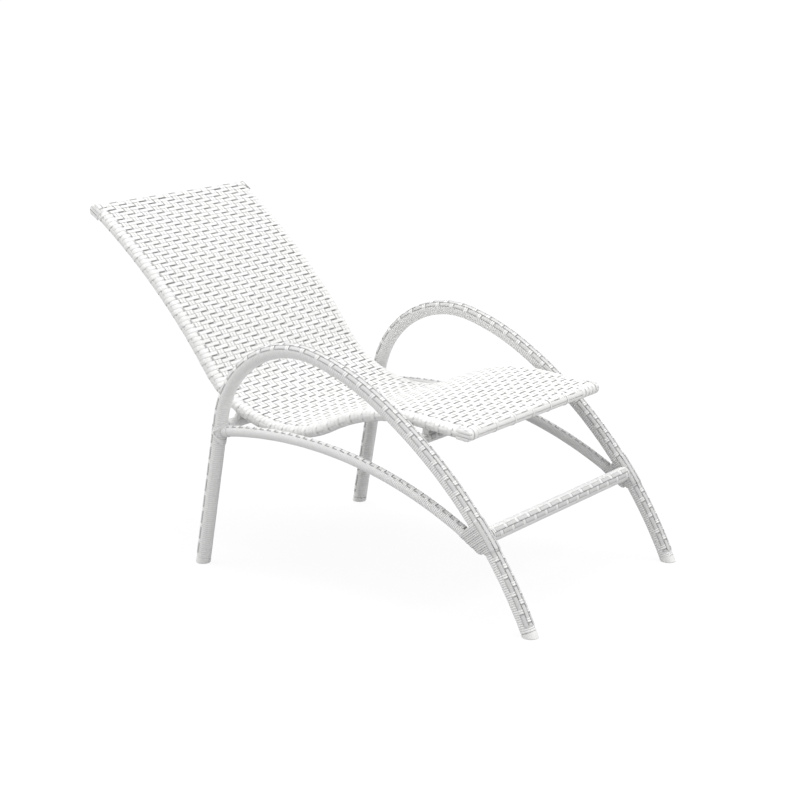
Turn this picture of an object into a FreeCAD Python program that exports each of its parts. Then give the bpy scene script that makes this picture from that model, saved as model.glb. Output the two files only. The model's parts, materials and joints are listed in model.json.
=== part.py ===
import FreeCAD, Part
import math
import os

import Sketcher

# Woven lounge chair with a fixed reclined shell.
# +Z is up, the sitter faces -Y, and the sitter's right-hand side is -X.
# The origin is the middle of the floor rectangle under the whole chair.
# Each side frame is one bent tube: rear leg, arm and front leg. A curved
# stretcher ties its two legs. Three straight bars join the side frames, and
# the shell (two bent rails, two end bars, two ribs and the weave) stands on
# the rear bar and the seat bar. Every visible tube is wound with flat strip.

doc = FreeCAD.newDocument("WovenLounger")

# ---------------------------------------------------------------- dimensions
# millimetres and degrees; every size below is worked out from these
DIMENSIONS = [
    ("frame_spacing", 640.0),
    ("rail_spacing", 542.0),
    ("frame_tube_diameter", 30.0),
    ("bar_tube_diameter", 22.0),
    ("rail_tube_diameter", 25.0),
    ("end_bar_diameter", 26.0),
    ("end_bar_proud", 1.5),
    ("rib_tube_diameter", 16.0),
    ("tube_wall", 1.5),
    ("wrap_thickness", 1.6),
    ("rear_foot_place", 286.0),
    ("foot_cap_height", 12.0),
    ("foot_cap_diameter", 35.0),
    ("foot_spigot_length", 20.0),
    ("foot_spigot_clearance", 0.1),
    ("foot_edge_round", 2.0),
    ("rear_leg_heading", 100.4),
    ("rear_leg_length", 363.0),
    ("arm_bend_radius", 224.0),
    ("arm_bend_angle", 95.0),
    ("arm_slope_radius", 596.0),
    ("arm_slope_angle", 16.5),
    ("front_leg_radius", 1079.0),
    ("front_leg_angle", 33.4),
    ("stretcher_start_forward", 59.5),
    ("stretcher_start_height", 333.0),
    ("stretcher_heading", 170.45),
    ("stretcher_radius", 1023.0),
    ("stretcher_angle", 43.0),
    ("front_bar_forward", 799.0),
    ("front_bar_height", 203.0),
    ("rear_bar_forward", 68.0),
    ("rear_bar_height", 346.0),
    ("seat_bar_forward", 612.0),
    ("seat_bar_height", 387.0),
    ("bar_set_back", 5.0),
    ("shell_front_forward", 726.0),
    ("shell_front_height", 411.0),
    ("shell_heading", 5.8),
    ("seat_front_length", 137.0),
    ("knee_radius", 416.0),
    ("knee_angle", 33.4),
    ("hip_radius", 283.0),
    ("hip_angle", 82.7),
    ("back_radius", 1491.0),
    ("back_angle", 18.9),
    ("weave_thickness", 3.6),
    ("weave_loop_thickness", 1.8),
    ("weave_edge_inset", 8.0),
    ("edge_strip_width", 9.0),
    ("edge_strip_thickness", 1.2),
    ("leader_thickness", 1.0),
    ("leader_first_angle", 27.0),
    ("leader_span_angle", 30.0),
    ("leader_pitch_angle", 32.0),
    ("leader_bar_gap", 1.2),
    ("crossbar_leader_first_angle", 121.0),
    ("back_rib_place", 0.80),
    ("seat_rib_place", 0.34),
    ("rib_clearance", 0.3),
    ("lashing_thickness", 1.8),
    ("front_lashing_top", 232.0),
    ("front_lashing_bottom", 176.0),
    ("rear_collar_length", 32.0),
    ("rear_collar_thickness", 2.4),
    ("rear_band_height", 26.0),
    ("screw_diameter", 6.0),
    ("screw_hole_diameter", 6.4),
    ("screw_head_diameter", 11.0),
    ("screw_head_height", 3.5),
    ("screw_end_in_rail", 4.0),
    ("wrap_hole_diameter", 13.0),
    ("rivet_nut_diameter", 9.0),
    ("rivet_nut_length", 11.0),
    ("rivet_nut_proud", 0.5),
    ("spacer_diameter", 15.0),
]

sheet = doc.addObject("Spreadsheet::Sheet", "Dimensions")
for row, (alias, value) in enumerate(DIMENSIONS, start=1):
    sheet.set("A%d" % row, alias.replace("_", " "))
    sheet.set("B%d" % row, str(value))
    sheet.setAlias("B%d" % row, alias)
doc.recompute()


def size(alias):
    """The value of one driving dimension."""
    return float(sheet.get(alias))


def bound(alias):
    """The expression that reads one driving dimension."""
    return "Dimensions." + alias


def bind(item, **expressions):
    """Binds properties of a document object to expressions."""
    for name, expression in expressions.items():
        item.setExpression(name, expression)


# ------------------------------------------------------------- path sketches
# A path lies in a plane of constant X. Its local X axis is its first tangent,
# and its local Y axis is the normal on its left. It is a chain of tangent
# segments: ("line", length) or ("arc", radius, angle, turn), with turn 1 to
# the left and -1 to the right.

START, END = 1, 2


def walk(segments):
    """Yields each segment's (point, heading) at its start, then the last end."""
    x, y, heading = 0.0, 0.0, 0.0
    yield x, y, heading
    for segment in segments:
        if segment[0] == "line":
            length = size(segment[1])
            x += length * math.cos(heading)
            y += length * math.sin(heading)
        else:
            radius, angle = size(segment[1]), math.radians(size(segment[2]))
            turn = segment[3]
            x -= turn * radius * math.sin(heading)
            y += turn * radius * math.cos(heading)
            heading += turn * angle
            x += turn * radius * math.sin(heading)
            y -= turn * radius * math.cos(heading)
        yield x, y, heading


def local_arc(x, y, heading, radius, angle, turn):
    """The arc of one segment, always stored anticlockwise."""
    centre_x = x - turn * radius * math.sin(heading)
    centre_y = y + turn * radius * math.cos(heading)
    centre = FreeCAD.Vector(centre_x, centre_y, 0)
    circle = Part.Circle(centre, FreeCAD.Vector(0, 0, 1), radius)
    first = heading - turn * math.pi / 2
    last = first + turn * angle
    return Part.ArcOfCircle(circle, min(first, last), max(first, last))


def path_sketch(name, plane_x, forward, height, heading, segments):
    """A sketch of one chain; the arguments but the last are expressions."""
    sketch = doc.addObject("Sketcher::SketchObject", name)
    base = "vector(%s; Dimensions.rear_foot_place - (%s); %s)" % (plane_x, forward, height)
    turned = "rotation(vector(1; 0; 0); %s) * rotation(vector(1; 1; 1); 120)" % heading
    sketch.setExpression("Placement", "placement(%s; %s)" % (base, turned))
    places = list(walk(segments))
    previous = None
    for index, segment in enumerate(segments):
        x, y, angle_here = places[index]
        if segment[0] == "line":
            there = places[index + 1]
            line = Part.LineSegment(FreeCAD.Vector(x, y, 0), FreeCAD.Vector(there[0], there[1], 0))
            sketch.addGeometry(line, False)
            first, last = START, END
        else:
            radius, angle = size(segment[1]), math.radians(size(segment[2]))
            turn = segment[3]
            sketch.addGeometry(local_arc(x, y, angle_here, radius, angle, turn), False)
            first, last = (START, END) if turn > 0 else (END, START)
        if previous is None:
            sketch.addConstraint(Sketcher.Constraint("Coincident", index, first, -1, 1))
            if segment[0] == "line":
                sketch.addConstraint(Sketcher.Constraint("Horizontal", index))
            else:
                sketch.addConstraint(Sketcher.Constraint("PointOnObject", index, 3, -2))
        else:
            sketch.addConstraint(Sketcher.Constraint("Tangent", index - 1, previous, index, first))
        previous = last
        if segment[0] == "line":
            number = sketch.addConstraint(Sketcher.Constraint("Distance", index, size(segment[1])))
            sketch.setExpression("Constraints[%d]" % number, bound(segment[1]))
        else:
            number = sketch.addConstraint(Sketcher.Constraint("Radius", index, size(segment[1])))
            sketch.setExpression("Constraints[%d]" % number, bound(segment[1]))
            radians = math.radians(size(segment[2]))
            number = sketch.addConstraint(Sketcher.Constraint("Angle", index, radians))
            sketch.setExpression("Constraints[%d]" % number, bound(segment[2]) + " * 1 deg")
    doc.recompute()
    return sketch


ARM = [
    ("line", "rear_leg_length"),
    ("arc", "arm_bend_radius", "arm_bend_angle", 1),
    ("arc", "arm_slope_radius", "arm_slope_angle", 1),
    ("arc", "front_leg_radius", "front_leg_angle", 1),
]
STRETCHER = [("arc", "stretcher_radius", "stretcher_angle", 1)]
SHELL = [
    ("line", "seat_front_length"),
    ("arc", "knee_radius", "knee_angle", -1),
    ("arc", "hip_radius", "hip_angle", 1),
    ("arc", "back_radius", "back_angle", -1),
]

frame_x = "-Dimensions.frame_spacing / 2"
rail_x = "-Dimensions.rail_spacing / 2"
cap_forward = "-Dimensions.foot_cap_height * cos(Dimensions.rear_leg_heading * 1 deg)"
cap_height = "Dimensions.foot_cap_height * sin(Dimensions.rear_leg_heading * 1 deg)"
arm_path = path_sketch("arm_path", frame_x, cap_forward, cap_height, bound("rear_leg_heading"), ARM)
stretcher_path = path_sketch(
    "stretcher_path", frame_x, bound("stretcher_start_forward"), bound("stretcher_start_height"),
    bound("stretcher_heading"), STRETCHER)
shell_place = (bound("shell_front_forward"), bound("shell_front_height"), bound("shell_heading"))
rail_path = path_sketch("rail_path", rail_x, *shell_place, SHELL)
shell_path = path_sketch("shell_path", "0", *shell_place, SHELL)


def place_on(path, segments, share):
    """World point and (tangent, normal) at a share of a path's length."""
    lengths = []
    for segment in segments:
        if segment[0] == "line":
            lengths.append(size(segment[1]))
        else:
            lengths.append(size(segment[1]) * math.radians(size(segment[2])))
    rest = share * sum(lengths)
    places = list(walk(segments))
    index = 0
    while index < len(segments) - 1 and rest > lengths[index]:
        rest -= lengths[index]
        index += 1
    x, y, heading = places[index]
    if segments[index][0] == "line":
        x += rest * math.cos(heading)
        y += rest * math.sin(heading)
    else:
        radius, turn = size(segments[index][1]), segments[index][3]
        later = heading + turn * rest / radius
        x += turn * radius * (math.sin(later) - math.sin(heading))
        y -= turn * radius * (math.cos(later) - math.cos(heading))
        heading = later
    spin = path.Placement.Rotation
    point = path.Placement.multVec(FreeCAD.Vector(x, y, 0))
    tangent = spin.multVec(FreeCAD.Vector(math.cos(heading), math.sin(heading), 0))
    normal = spin.multVec(FreeCAD.Vector(-math.sin(heading), math.cos(heading), 0))
    return point, tangent, normal


# ------------------------------------------------------------ solid helpers
def sweep(name, path, section):
    """A solid swept along a whole path sketch."""
    swept = doc.addObject("Part::Sweep", name)
    swept.Sections = [section]
    edges = ["Edge%d" % (number + 1) for number in range(len(path.Shape.Edges))]
    swept.Spine = (path, edges)
    swept.Solid = True
    swept.Frenet = False
    doc.recompute()
    return swept


def rod(name, path, radius):
    """A round bar along a path; radius is an expression."""
    circle = doc.addObject("Part::Circle", name + "_section")
    facing = "placement(vector(0; 0; 0); rotation(vector(0; 1; 0); 90))"
    bind(circle, Radius=radius, Placement="%s.Placement * %s" % (path.Name, facing))
    doc.recompute()
    return sweep(name, path, circle)


def section_sketch(name, path):
    """An empty sketch across a path's start: X is world X, Y is the path's normal."""
    sketch = doc.addObject("Sketcher::SketchObject", name)
    facing = "placement(vector(0; 0; 0); rotation(vector(0; 1; 0); -90))"
    sketch.setExpression("Placement", "%s.Placement * %s" % (path.Name, facing))
    return sketch


def cylinder(name, radius, length, placement=None):
    """A cylinder whose radius and height are expressions, along local Z."""
    item = doc.addObject("Part::Cylinder", name)
    bind(item, Radius=radius, Height=length)
    if placement is not None:
        item.Placement = placement
    return item


def cross_bar(name, radius, half_length, forward, height):
    """A cylinder along world X, centred on X = 0; all arguments are expressions."""
    item = cylinder(name, radius, "2 * (%s)" % half_length)
    base = "vector(-(%s); Dimensions.rear_foot_place - (%s); %s)" % (half_length, forward, height)
    item.setExpression("Placement", "placement(%s; rotation(vector(0; 1; 0); 90))" % base)
    doc.recompute()
    return item


def cut(name, base, tools):
    """Base less every tool, in turn."""
    result = base
    for number, tool in enumerate(tools, start=1):
        step_name = name if number == len(tools) else "%s_step_%d" % (name, number)
        step = doc.addObject("Part::Cut", step_name)
        step.Base = result
        step.Tool = tool
        result = step
    doc.recompute()
    return result


def fuse(name, shapes):
    """The union of some shapes."""
    result = doc.addObject("Part::MultiFuse", name)
    result.Shapes = shapes
    doc.recompute()
    return result


def mirrored(source, name):
    """The same shape on the sitter's left."""
    result = doc.addObject("Part::Mirroring", name)
    result.Source = source
    result.Normal = FreeCAD.Vector(1, 0, 0)
    doc.recompute()
    return result


nodes = []


def sub_part(item, label):
    """Names one physical piece of the chair."""
    item.Label = label
    nodes.append(item)
    return item


def pair(item, piece):
    """Names a right-hand piece, and adds its mirror image on the left."""
    sub_part(item, "right_" + piece)
    return sub_part(mirrored(item, "left_%s_mirror" % piece), "left_" + piece)


# -------------------------------------------------------- envelopes of tubes
frame_radius = "Dimensions.frame_tube_diameter / 2"
bar_radius = "Dimensions.bar_tube_diameter / 2"
rail_radius = "Dimensions.rail_tube_diameter / 2"
wall = " - Dimensions.tube_wall"
wrap = " + Dimensions.wrap_thickness"

arm_bore = rod("arm_bore", arm_path, frame_radius + wall)
arm_rod = rod("arm_rod", arm_path, frame_radius)
arm_wound = rod("arm_wound", arm_path, frame_radius + wrap)
stretcher_bore = rod("stretcher_bore", stretcher_path, bar_radius + wall)
stretcher_rod = rod("stretcher_rod", stretcher_path, bar_radius)
stretcher_wound = rod("stretcher_wound", stretcher_path, bar_radius + wrap)
rail_bore = rod("rail_bore", rail_path, rail_radius + wall)
rail_rod = rod("rail_rod", rail_path, rail_radius)
loop = " + Dimensions.weave_loop_thickness"
rail_wound = rod("rail_wound", rail_path, rail_radius + loop)

left_arm_rod = mirrored(arm_rod, "left_arm_rod")
left_arm_wound = mirrored(arm_wound, "left_arm_wound")
left_stretcher_rod = mirrored(stretcher_rod, "left_stretcher_rod")
left_stretcher_wound = mirrored(stretcher_wound, "left_stretcher_wound")
left_rail_rod = mirrored(rail_rod, "left_rail_rod")
left_rail_wound = mirrored(rail_wound, "left_rail_wound")

BARS = {
    "front_crossbar": (frame_radius, bound("front_bar_forward"), bound("front_bar_height")),
    "rear_crossbar": (bar_radius, bound("rear_bar_forward"), bound("rear_bar_height")),
    "seat_support": (bar_radius, bound("seat_bar_forward"), bound("seat_bar_height")),
}
# the bars stop just short of the frame tubes' axes
half_frame = "Dimensions.frame_spacing / 2 - Dimensions.bar_set_back"
bar_bores, bar_rods, bars_wound = {}, {}, {}
for bar, (radius, forward, height) in BARS.items():
    bar_bores[bar] = cross_bar(bar + "_bore", radius + wall, half_frame, forward, height)
    bar_rods[bar] = cross_bar(bar + "_rod", radius, half_frame, forward, height)
    bars_wound[bar] = cross_bar(bar + "_wound", radius + wrap, half_frame, forward, height)

# -------------------------------------------------- shell mounting hardware
# A screw at each end of the rear and seat bars comes up through the bar and a
# spacer into a rivet nut in the rail. Its axis points from bar to rail.


def mounting_axis(bar):
    """Placement whose Z runs from the bar's axis to the rail's, and the gap between the axes."""
    forward, height = size(bar + "_bar_forward"), size(bar + "_bar_height")
    centre = FreeCAD.Vector(-size("rail_spacing") / 2, size("rear_foot_place") - forward, height)
    gap, places, _ = rail_path.Shape.distToShape(Part.Vertex(centre))
    towards = places[0][0] - centre
    turn = FreeCAD.Rotation(FreeCAD.Vector(0, 0, 1), towards)
    return FreeCAD.Placement(centre, turn), gap


def along(placement, distance):
    """The placement moved along its own Z."""
    return placement.multiply(FreeCAD.Placement(FreeCAD.Vector(0, 0, distance), FreeCAD.Rotation()))


screws, nuts, spacers, screw_holes, wrap_holes, nut_holes = [], [], {}, [], [], []
for bar, bar_name in (("rear", "rear_crossbar"), ("seat", "seat_support")):
    axis, gap = mounting_axis(bar)
    tube_skin = size("bar_tube_diameter") / 2
    shank_length = tube_skin + gap - size("screw_end_in_rail")
    shank_start = along(axis, -tube_skin)
    head_start = along(axis, -tube_skin - size("screw_head_height"))
    shank = cylinder(bar + "_screw_shank", "Dimensions.screw_diameter / 2", str(shank_length), shank_start)
    head = cylinder(
        bar + "_screw_head", "Dimensions.screw_head_diameter / 2", bound("screw_head_height"), head_start)
    hole = cylinder(
        bar + "_screw_hole", "Dimensions.screw_hole_diameter / 2", str(shank_length), shank_start)
    wrap_hole = cylinder(
        bar + "_wrap_hole", "Dimensions.wrap_hole_diameter / 2", str(tube_skin),
        along(axis, -2 * tube_skin))
    nut_start = gap - size("rail_tube_diameter") / 2 - size("rivet_nut_proud")
    nut_blank = cylinder(
        bar + "_nut_blank", "Dimensions.rivet_nut_diameter / 2", bound("rivet_nut_length"),
        along(axis, nut_start))
    spacer_blank = cylinder(
        bar + "_spacer_blank", "Dimensions.spacer_diameter / 2", str(gap), axis)
    doc.recompute()
    screw = fuse(bar + "_screw", [head, shank])
    nut = cut(bar + "_nut", nut_blank, [shank])
    screws += [screw, mirrored(screw, "left_%s_screw" % bar)]
    nuts += [nut, mirrored(nut, "left_%s_nut" % bar)]
    screw_holes += [hole, mirrored(hole, "left_%s_screw_hole" % bar)]
    wrap_holes += [wrap_hole, mirrored(wrap_hole, "left_%s_wrap_hole" % bar)]
    nut_holes += [nut_blank, mirrored(nut_blank, "left_%s_nut_blank" % bar)]
    spacers[bar] = cut(bar + "_spacer", spacer_blank, [bars_wound[bar_name], rail_wound, hole])

# ------------------------------------------------------------ bare tubes
pair(cut("arm_tube", arm_rod, [arm_bore]), "arm_leg_tube")
pair(cut("stretcher_tube", stretcher_rod, [stretcher_bore, arm_rod]), "side_stretcher_tube")
both_frames = [arm_rod, left_arm_rod]
both_stretchers = [stretcher_rod, left_stretcher_rod]
front_cutters = [bar_bores["front_crossbar"]] + both_frames + both_stretchers
sub_part(cut("front_crossbar", bar_rods["front_crossbar"], front_cutters), "front_crossbar_tube")
rear_cutters = [bar_bores["rear_crossbar"]] + both_frames + both_stretchers + screw_holes[:2]
sub_part(cut("rear_crossbar", bar_rods["rear_crossbar"], rear_cutters), "rear_crossbar_tube")
seat_cutters = [bar_bores["seat_support"]] + both_frames + screw_holes[2:]
sub_part(cut("seat_support", bar_rods["seat_support"], seat_cutters), "seat_support_tube")

# ------------------------------------------------------ shell frame and ribs
half_rail = "Dimensions.rail_spacing / 2"
ends = {
    "shell_front_bar": place_on(shell_path, SHELL, 0.0)[0],
    "shell_head_bar": place_on(shell_path, SHELL, 1.0)[0],
}
end_radius = "Dimensions.end_bar_diameter / 2"
end_reach = half_rail + " + " + rail_radius + " + Dimensions.end_bar_proud"
end_rods, end_sleeves = [], []
for name, centre in ends.items():
    forward, height = str(size("rear_foot_place") - centre.y), str(centre.z)
    outer = cross_bar(name + "_rod", end_radius, end_reach, forward, height)
    bore = cross_bar(name + "_bore", end_radius + wall, end_reach, forward, height)
    sub_part(cut(name, outer, [bore]), name)
    end_rods.append(outer)
    end_sleeves.append(cross_bar(name + "_sleeve", end_radius + loop, end_reach + loop, forward, height))
pair(cut("shell_rail", rail_rod, [rail_bore] + end_rods + nut_holes[::2]), "shell_rail")

for rib in ("back_rib", "seat_rib"):
    point, _, normal = place_on(shell_path, SHELL, size(rib + "_place"))
    drop = size("rail_tube_diameter") / 2 + size("weave_loop_thickness") - size("weave_thickness")
    drop -= size("rib_tube_diameter") / 2 + size("rib_clearance")
    centre = point + normal * drop
    forward, height = str(size("rear_foot_place") - centre.y), str(centre.z)
    outer = cross_bar(rib + "_rod", "Dimensions.rib_tube_diameter / 2", half_rail, forward, height)
    rib_bore = "Dimensions.rib_tube_diameter / 2" + wall
    bore = cross_bar(rib + "_bore", rib_bore, half_rail, forward, height)
    sub_part(cut(rib + "_tube", outer, [bore, rail_wound, left_rail_wound]), "shell_" + rib)

# ---------------------------------------------------------------- the weave
# It is a sheet between the rails, and a winding round each rail and end bar.


def rectangle_section(name, path, first_x, first_y, width, height):
    """A rectangle across a path's start; each argument is (value, expression)."""
    section = section_sketch(name, path)
    x, y = first_x[0], first_y[0]
    wide, high = width[0], height[0]
    corners = [(x, y), (x + wide, y), (x + wide, y + high), (x, y + high)]
    for number in range(4):
        first = FreeCAD.Vector(*corners[number], 0)
        last = FreeCAD.Vector(*corners[(number + 1) % 4], 0)
        section.addGeometry(Part.LineSegment(first, last), False)
    for number, kind in enumerate(("Horizontal", "Vertical", "Horizontal", "Vertical")):
        section.addConstraint(Sketcher.Constraint("Coincident", number, END, (number + 1) % 4, START))
        section.addConstraint(Sketcher.Constraint(kind, number))
    rules = [
        (("DistanceX", 0, START, 0, END, wide), width[1]),
        (("DistanceY", 1, START, 1, END, high), height[1]),
        (("DistanceX", 0, START, -1, 1, -x), "-(%s)" % first_x[1]),
        (("DistanceY", -1, 1, 0, START, y), first_y[1]),
    ]
    for rule, expression in rules:
        number = section.addConstraint(Sketcher.Constraint(*rule))
        section.setExpression("Constraints[%d]" % number, expression)
    doc.recompute()
    return section


loop_radius = size("rail_tube_diameter") / 2 + size("weave_loop_thickness")
half_sheet = size("rail_spacing") / 2 - size("weave_edge_inset")
half_sheet_rule = half_rail + " - Dimensions.weave_edge_inset"
weave_section = rectangle_section(
    "weave_section", shell_path,
    (-half_sheet, "-(%s)" % half_sheet_rule),
    (loop_radius - size("weave_thickness"), rail_radius + loop + " - Dimensions.weave_thickness"),
    (2 * half_sheet, "2 * (%s)" % half_sheet_rule),
    (size("weave_thickness"), bound("weave_thickness")))
weave_sheet = sweep("weave_sheet", shell_path, weave_section)
weave_cutters = [rail_wound, left_rail_wound] + end_sleeves
sub_part(cut("weave", weave_sheet, weave_cutters), "seat_back_weave")

# each strip's end turns round the rail
winding_cutters = [rail_rod] + end_sleeves + screw_holes[::2] + nut_holes[::2]
pair(cut("rail_winding", rail_wound, winding_cutters), "rail_winding")

# the strips that run along the shell are bound over the end bars
for name, rod_inside, sleeve in zip(("front", "head"), end_rods, end_sleeves):
    binding = cut(name + "_binding", sleeve, [rail_rod, left_rail_rod, rod_inside])
    sub_part(binding, "shell_%s_binding" % name)

# a flat strip runs along the outside of each rail
edge_outer = loop_radius + size("edge_strip_thickness")
edge_section = rectangle_section(
    "edge_section", rail_path,
    (-edge_outer, "-(%s%s + Dimensions.edge_strip_thickness)" % (rail_radius, loop)),
    (-size("edge_strip_width") / 2, "-Dimensions.edge_strip_width / 2"),
    (size("edge_strip_thickness"), bound("edge_strip_thickness")),
    (size("edge_strip_width"), bound("edge_strip_width")))
edge_strip = sweep("edge_strip", rail_path, edge_section)
pair(cut("edge_strip_trimmed", edge_strip, end_sleeves), "edge_strip")

# ------------------------------------------------------------- wound strip
all_bar_rods = list(bar_rods.values())
arm_wrap_cutters = [arm_rod, stretcher_rod] + all_bar_rods
pair(cut("arm_wrap", arm_wound, arm_wrap_cutters), "arm_leg_wrap")
stretcher_cutters = [stretcher_rod, arm_wound, bar_rods["front_crossbar"], bar_rods["rear_crossbar"]]
pair(cut("stretcher_wrap", stretcher_wound, stretcher_cutters), "side_stretcher_wrap")
frames_wound = [arm_wound, left_arm_wound]
stretchers_wound = [stretcher_wound, left_stretcher_wound]
for bar in BARS:
    cutters = [bar_rods[bar]] + frames_wound + stretchers_wound
    if bar == "rear_crossbar":
        cutters += screw_holes[:2] + wrap_holes[:2]
    if bar == "seat_support":
        cutters += screw_holes[2:] + wrap_holes[2:]
    sub_part(cut(bar + "_wrap_piece", bars_wound[bar], cutters), bar + "_wrap")


# Flat leader strips lie side by side: four round the outside of each arm's loop,
# where the inner two stop at the bars, and two on the front of the crossbar.
def ring_sector(sketch, inner, outer, first, span):
    """A closed sector of a ring; radii are (value, expression), angles are degrees."""
    count = len(sketch.Geometry)
    begin, finish = math.radians(first), math.radians(first + span)
    for radius, _ in (inner, outer):
        circle = Part.Circle(FreeCAD.Vector(0, 0, 0), FreeCAD.Vector(0, 0, 1), radius)
        sketch.addGeometry(Part.ArcOfCircle(circle, begin, finish), False)
    for angle in (begin, finish):
        direction = FreeCAD.Vector(math.cos(angle), math.sin(angle), 0)
        sketch.addGeometry(Part.LineSegment(direction * inner[0], direction * outer[0]), False)
    rules = [("Coincident", count, 3, -1, 1), ("Coincident", count + 1, 3, -1, 1)]
    for line, end in ((count + 2, START), (count + 3, END)):
        rules.append(("Coincident", count, end, line, START))
        rules.append(("Coincident", count + 1, end, line, END))
        rules.append(("PointOnObject", -1, 1, line))
    for rule in rules:
        sketch.addConstraint(Sketcher.Constraint(*rule))
    for arc, (radius, expression) in ((count, inner), (count + 1, outer)):
        number = sketch.addConstraint(Sketcher.Constraint("Radius", arc, radius))
        sketch.setExpression("Constraints[%d]" % number, expression)
    for line, angle in ((count + 2, begin), (count + 3, finish)):
        sketch.addConstraint(Sketcher.Constraint("Angle", line, angle))


wrap_skin = (size("frame_tube_diameter") / 2 + size("wrap_thickness"), frame_radius + wrap)
leader_skin = (
    wrap_skin[0] + size("leader_thickness"), wrap_skin[1] + " + Dimensions.leader_thickness")
# seen along the path, the outside of the arm's loop is its right and the sitter's side is +X
leader_stops = [
    cross_bar(bar + "_leader_stop", "%s + Dimensions.leader_bar_gap" % (radius + wrap), half_frame,
              forward, height)
    for bar, (radius, forward, height) in BARS.items()
]
arm_strips = []
for strip in range(4):
    strip_section = section_sketch("arm_leader_section_%d" % strip, arm_path)
    first_angle = 180 + size("leader_first_angle") + strip * size("leader_pitch_angle")
    ring_sector(strip_section, wrap_skin, leader_skin, first_angle, size("leader_span_angle"))
    doc.recompute()
    blank = sweep("arm_leader_blank_%d" % strip, arm_path, strip_section)
    arm_strips.append(cut("arm_leader_%d" % strip, blank, leader_stops) if strip > 1 else blank)
arm_leaders = doc.addObject("Part::Compound", "arm_leaders")
arm_leaders.Links = arm_strips
doc.recompute()
pair(arm_leaders, "arm_leader_strips")


def crossbar_leader(strip):
    """One leader strip of the front crossbar, from frame tube to frame tube."""
    sketch = doc.addObject("Sketcher::SketchObject", "crossbar_leader_section_%d" % strip)
    _, forward, height = BARS["front_crossbar"]
    base = "vector(-(%s); Dimensions.rear_foot_place - (%s); %s)" % (half_frame, forward, height)
    sketch.setExpression("Placement", "placement(%s; rotation(vector(1; 1; 1); 120))" % base)
    first_angle = size("crossbar_leader_first_angle") + strip * size("leader_pitch_angle")
    ring_sector(sketch, wrap_skin, leader_skin, first_angle, size("leader_span_angle"))
    doc.recompute()
    extrusion = doc.addObject("Part::Extrusion", "crossbar_leader_blank_%d" % strip)
    extrusion.Base = sketch
    extrusion.DirMode = "Normal"
    extrusion.Solid = True
    extrusion.setExpression("LengthFwd", "2 * (%s)" % half_frame)
    doc.recompute()
    return extrusion

# -------------------------------------------------------------- lashings
# Where the stretcher meets the front leg, both tubes are bound together: the
# binding's section is a belt round two circles, lofted down the leg.


def arm_share_at(height):
    """The share of the arm path, past its top, where the tube's axis is at a height."""
    low, high, precision = 0.5, 1.0, 1e-6
    while high - low > precision:
        middle = (low + high) / 2
        if place_on(arm_path, ARM, middle)[0].z > height:
            low = middle
        else:
            high = middle
    return low


def belt_sketch(name, alias):
    """A belt round the leg and the stretcher, square to the leg at a height."""
    point, tangent, normal = place_on(arm_path, ARM, arm_share_at(size(alias)))
    plane = Part.Plane(point, tangent)
    crossing = stretcher_path.Shape.Edges[0].Curve.intersectCS(plane)[0]
    near = min(crossing, key=lambda place: (FreeCAD.Vector(place.X, place.Y, place.Z) - point).Length)
    spacing = (FreeCAD.Vector(near.X, near.Y, near.Z) - point).Length
    big = size("frame_tube_diameter") / 2 + size("wrap_thickness") + size("lashing_thickness")
    small = size("bar_tube_diameter") / 2 + size("wrap_thickness") + size("lashing_thickness")
    lean = math.asin((big - small) / spacing)
    sketch = doc.addObject("Sketcher::SketchObject", name)
    across = FreeCAD.Vector(1, 0, 0)
    sketch.Placement = FreeCAD.Placement(point, FreeCAD.Rotation(normal, across, tangent, "XYZ"))
    up = math.pi / 2 - lean
    leg = Part.Circle(FreeCAD.Vector(0, 0, 0), FreeCAD.Vector(0, 0, 1), big)
    other = Part.Circle(FreeCAD.Vector(spacing, 0, 0), FreeCAD.Vector(0, 0, 1), small)
    above = FreeCAD.Vector(math.cos(up), math.sin(up), 0)
    below = FreeCAD.Vector(math.cos(up), -math.sin(up), 0)
    offset = FreeCAD.Vector(spacing, 0, 0)
    sketch.addGeometry(Part.ArcOfCircle(leg, up, 2 * math.pi - up), False)
    sketch.addGeometry(Part.LineSegment(below * big, below * small + offset), False)
    sketch.addGeometry(Part.ArcOfCircle(other, -up, up), False)
    sketch.addGeometry(Part.LineSegment(above * small + offset, above * big), False)
    rules = [
        ("Tangent", 0, END, 1, START), ("Tangent", 1, END, 2, START),
        ("Tangent", 2, END, 3, START), ("Tangent", 3, END, 0, START),
        ("Coincident", 0, 3, -1, 1), ("PointOnObject", 2, 3, -1),
        ("DistanceX", 0, 3, 2, 3, spacing),
    ]
    for rule in rules:
        sketch.addConstraint(Sketcher.Constraint(*rule))
    layers = " + Dimensions.wrap_thickness + Dimensions.lashing_thickness"
    for arc, radius, expression in ((0, big, frame_radius + layers), (2, small, bar_radius + layers)):
        number = sketch.addConstraint(Sketcher.Constraint("Radius", arc, radius))
        sketch.setExpression("Constraints[%d]" % number, expression)
    doc.recompute()
    return sketch


belt = doc.addObject("Part::Loft", "front_lashing_blank")
belt.Sections = [
    belt_sketch("lashing_top", "front_lashing_top"),
    belt_sketch("lashing_bottom", "front_lashing_bottom"),
]
belt.Solid = True
belt.Ruled = True
doc.recompute()
belt_cutters = [arm_wound, stretcher_wound, bars_wound["front_crossbar"], arm_leaders]
pair(cut("front_lashing", belt, belt_cutters), "front_lashing")

leader_cutters = frames_wound + [belt, mirrored(belt, "left_front_lashing_blank")]
crossbar_leaders = doc.addObject("Part::Compound", "crossbar_leaders")
crossbar_leaders.Links = [
    cut("crossbar_leader_%d" % strip, crossbar_leader(strip), leader_cutters) for strip in range(2)
]
doc.recompute()
sub_part(crossbar_leaders, "front_crossbar_leader_strips")

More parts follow.
